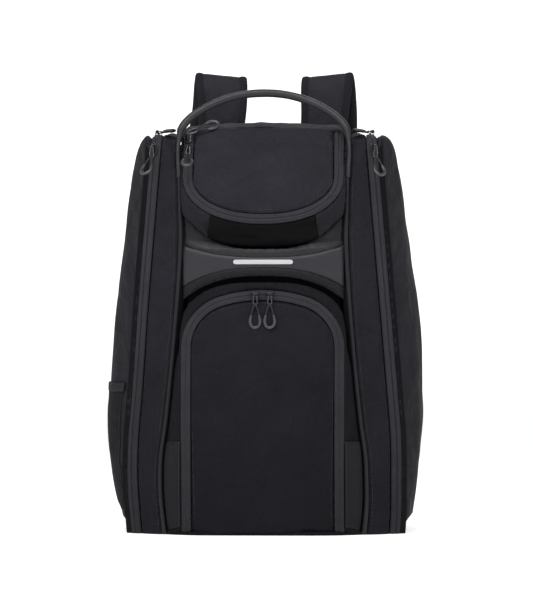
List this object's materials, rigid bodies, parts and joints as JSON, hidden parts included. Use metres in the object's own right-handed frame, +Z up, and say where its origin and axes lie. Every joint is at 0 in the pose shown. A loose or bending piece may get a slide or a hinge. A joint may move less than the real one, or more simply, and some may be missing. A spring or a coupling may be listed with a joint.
{
  "type": "racket backpack",
  "caption": "Backpack with a zipped racket compartment on each side, a top pocket lid, a zipped front pocket, a carry handle and padded shoulder straps.",
  "frame": {"origin": "centre of the bag's bounding box, on the floor it stands on", "axes": "+Z up, the front pocket faces -Y, the back panel and straps are at +Y, +X is to the right as seen from the front"},
  "size_m": [0.3912, 0.3115, 0.5911],
  "materials": {
    "black_polyester": "woven polyester, near black",
    "padded_mesh": "padded spacer mesh",
    "lining": "thin smooth lining",
    "charcoal_polyester": "fine woven polyester, charcoal",
    "grey_coated_fabric": "smooth coated fabric, dark grey, slight sheen",
    "reflective_tape": "light grey retroreflective tape",
    "piping": "covered piping cord",
    "zip_tape": "ribbed zip tape with coil",
    "stretch_mesh": "stretch mesh",
    "elastic_binding": "ribbed elastic binding",
    "strap_fabric": "padded fabric with bound edges",
    "gunmetal": "dark enamelled die-cast metal",
    "moulded_pull": "cord with moulded grey end",
    "webbing": "ribbed polyester webbing",
    "black_plastic": "black acetal plastic"
  },
  "bodies": {
    "bag_body": {"back_panel": "black_polyester", "back_pads": "padded_mesh", "base_panel": "black_polyester", "compartment_dividers": "lining", "top_pocket_floor": "lining", "front_gussets": "charcoal_polyester", "top_gussets": "charcoal_polyester", "rear_gussets": "charcoal_polyester", "top_yoke": "charcoal_polyester", "strap_yoke": "black_polyester", "handle_feet": "black_polyester", "top_pocket_surround": "charcoal_polyester", "top_pocket_underside": "black_polyester", "upper_trim": "grey_coated_fabric", "reflective_panel": "grey_coated_fabric", "reflective_strip": "reflective_tape", "lower_trim": "grey_coated_fabric", "recess_liner": "black_polyester", "front_pocket_frame": "charcoal_polyester", "reinforcement_patches": "grey_coated_fabric", "edge_piping": "piping", "lid_zip_fixed": "zip_tape", "flap_zip_fixed": "zip_tape", "left_zip_fixed": "zip_tape", "right_zip_fixed": "zip_tape", "strap_anchor_tabs": "black_polyester", "lower_webbing": "webbing"},
    "top_lid": {"top_lid": "charcoal_polyester", "lid_zip_moving": "zip_tape"},
    "front_flap": {"front_flap": "charcoal_polyester", "flap_zip_moving": "zip_tape"},
    "left_door": {"left_side_panel": "charcoal_polyester", "left_zip_moving": "zip_tape", "bottle_pocket": "stretch_mesh", "bottle_pocket_binding": "elastic_binding"},
    "right_door": {"right_side_panel": "charcoal_polyester", "right_zip_moving": "zip_tape"},
    "carry_handle": {"carry_handle": "strap_fabric"},
    "left_zip_slider_front": {"left_zip_slider_front": "gunmetal"},
    "left_zip_slider_top": {"left_zip_slider_top": "gunmetal"},
    "right_zip_slider_front": {"right_zip_slider_front": "gunmetal"},
    "right_zip_slider_top": {"right_zip_slider_top": "gunmetal"},
    "lid_zip_slider_front": {"lid_zip_slider_front": "gunmetal"},
    "lid_zip_slider_top": {"lid_zip_slider_top": "gunmetal"},
    "flap_zip_slider_left": {"flap_zip_slider_left": "gunmetal"},
    "flap_zip_slider_right": {"flap_zip_slider_right": "gunmetal"},
    "left_zip_pull_front": {"left_zip_pull_front": "moulded_pull"},
    "left_zip_pull_top": {"left_zip_pull_top": "moulded_pull"},
    "right_zip_pull_front": {"right_zip_pull_front": "moulded_pull"},
    "right_zip_pull_top": {"right_zip_pull_top": "moulded_pull"},
    "lid_zip_pull_front": {"lid_zip_pull_front": "moulded_pull"},
    "lid_zip_pull_top": {"lid_zip_pull_top": "moulded_pull"},
    "flap_zip_pull_left": {"flap_zip_pull_left": "moulded_pull"},
    "flap_zip_pull_right": {"flap_zip_pull_right": "moulded_pull"},
    "left_shoulder_strap": {"left_shoulder_strap": "strap_fabric"},
    "right_shoulder_strap": {"right_shoulder_strap": "strap_fabric"},
    "left_ladder_lock": {"left_ladder_lock": "black_plastic", "left_webbing_tail": "webbing"},
    "right_ladder_lock": {"right_ladder_lock": "black_plastic", "right_webbing_tail": "webbing"}
  },
  "joints": [
    {"name": "top_lid_hinge", "type": "hinge", "parent": "bag_body", "child": "top_lid", "pos_m": [0, -0.0856, 0.4972], "axis": [-1, 0, 0], "range_deg": [0, 66]},
    {"name": "front_flap_hinge", "type": "hinge", "parent": "bag_body", "child": "front_flap", "pos_m": [0, -0.1345, 0.006], "axis": [1, 0, 0], "range_deg": [0, 70]},
    {"name": "left_door_hinge", "type": "hinge", "parent": "bag_body", "child": "left_door", "pos_m": [-0.15, 0, 0.005], "axis": [0, -1, 0], "range_deg": [0, 50]},
    {"name": "right_door_hinge", "type": "hinge", "parent": "bag_body", "child": "right_door", "pos_m": [0.15, 0, 0.005], "axis": [0, 1, 0], "range_deg": [0, 50]},
    {"name": "carry_handle_hinge", "type": "hinge", "parent": "bag_body", "child": "carry_handle", "pos_m": [0, -0.096, 0.5], "axis": [-1, 0, 0], "range_deg": [-85, 20]},
    {"name": "left_zip_slider_front_slide", "type": "slide", "parent": "left_door", "child": "left_zip_slider_front", "axis": [-0.0832, 0, -0.9965], "range_m": [0, 0.28]},
    {"name": "left_zip_slider_top_slide", "type": "slide", "parent": "left_door", "child": "left_zip_slider_top", "axis": [0, 1, 0], "range_m": [0, 0.13]},
    {"name": "right_zip_slider_front_slide", "type": "slide", "parent": "right_door", "child": "right_zip_slider_front", "axis": [0.0832, 0, -0.9965], "range_m": [0, 0.28]},
    {"name": "right_zip_slider_top_slide", "type": "slide", "parent": "right_door", "child": "right_zip_slider_top", "axis": [0, 1, 0], "range_m": [0, 0.13]},
    {"name": "lid_zip_slider_front_track", "type": "hinge", "parent": "top_lid", "child": "lid_zip_slider_front", "pos_m": [-0.093, -0.0031, 0.3993], "axis": [1, 0, 0], "range_deg": [0, 17]},
    {"name": "lid_zip_slider_top_track", "type": "hinge", "parent": "top_lid", "child": "lid_zip_slider_top", "pos_m": [-0.093, -0.0031, 0.3993], "axis": [1, 0, 0], "range_deg": [0, 1.8]},
    {"name": "flap_zip_slider_left_track", "type": "hinge", "parent": "front_flap", "child": "flap_zip_slider_left", "pos_m": [0, -0.136, 0.119], "axis": [0, -1, 0], "range_deg": [0, 10]},
    {"name": "flap_zip_slider_right_track", "type": "hinge", "parent": "front_flap", "child": "flap_zip_slider_right", "pos_m": [0, -0.136, 0.119], "axis": [0, 1, 0], "range_deg": [0, 10]},
    {"name": "left_zip_pull_front_swing", "type": "hinge", "parent": "left_zip_slider_front", "child": "left_zip_pull_front", "pos_m": [-0.13912, -0.10439, 0.463], "axis": [-0.9243, 0.3818, -0.0002], "range_deg": [0, 60]},
    {"name": "left_zip_pull_top_swing", "type": "hinge", "parent": "left_zip_slider_top", "child": "left_zip_pull_top", "pos_m": [-0.13457, -0.058, 0.5001], "axis": [-0.8364, -0.5323, 0.1306], "range_deg": [0, 60]},
    {"name": "right_zip_pull_front_swing", "type": "hinge", "parent": "right_zip_slider_front", "child": "right_zip_pull_front", "pos_m": [0.13912, -0.10439, 0.463], "axis": [-0.9243, -0.3818, 0.0002], "range_deg": [0, 60]},
    {"name": "right_zip_pull_top_swing", "type": "hinge", "parent": "right_zip_slider_top", "child": "right_zip_pull_top", "pos_m": [0.13457, -0.058, 0.5001], "axis": [-0.8364, 0.5323, -0.1306], "range_deg": [0, 60]},
    {"name": "lid_zip_pull_front_swing", "type": "hinge", "parent": "lid_zip_slider_front", "child": "lid_zip_pull_front", "pos_m": [-0.093, -0.10508, 0.4781], "axis": [-1, 0, 0], "range_deg": [0, 50]},
    {"name": "lid_zip_pull_top_swing", "type": "hinge", "parent": "lid_zip_slider_top", "child": "lid_zip_pull_top", "pos_m": [-0.093, -0.09507, 0.49106], "axis": [0.0025, -0.6858, -0.7278], "range_deg": [0, 25]},
    {"name": "flap_zip_pull_left_swing", "type": "hinge", "parent": "flap_zip_slider_left", "child": "flap_zip_pull_left", "pos_m": [-0.0089, -0.14355, 0.29478], "axis": [-1, 0, 0], "range_deg": [0, 60]},
    {"name": "flap_zip_pull_right_swing", "type": "hinge", "parent": "flap_zip_slider_right", "child": "flap_zip_pull_right", "pos_m": [0.0089, -0.14355, 0.29478], "axis": [-1, 0, 0], "range_deg": [0, 60]},
    {"name": "left_shoulder_strap_hinge", "type": "hinge", "parent": "bag_body", "child": "left_shoulder_strap", "pos_m": [-0.067, 0.128, 0.501], "axis": [1, 0, 0], "range_deg": [0, 12]},
    {"name": "left_ladder_lock_tilt", "type": "hinge", "parent": "left_shoulder_strap", "child": "left_ladder_lock", "pos_m": [-0.108, 0.149, 0.22], "axis": [1, 0, 0], "range_deg": [0, 40]},
    {"name": "right_shoulder_strap_hinge", "type": "hinge", "parent": "bag_body", "child": "right_shoulder_strap", "pos_m": [0.067, 0.128, 0.501], "axis": [1, 0, 0], "range_deg": [0, 12]},
    {"name": "right_ladder_lock_tilt", "type": "hinge", "parent": "right_shoulder_strap", "child": "right_ladder_lock", "pos_m": [0.108, 0.149, 0.22], "axis": [1, 0, 0], "range_deg": [0, 40]}
  ]
}
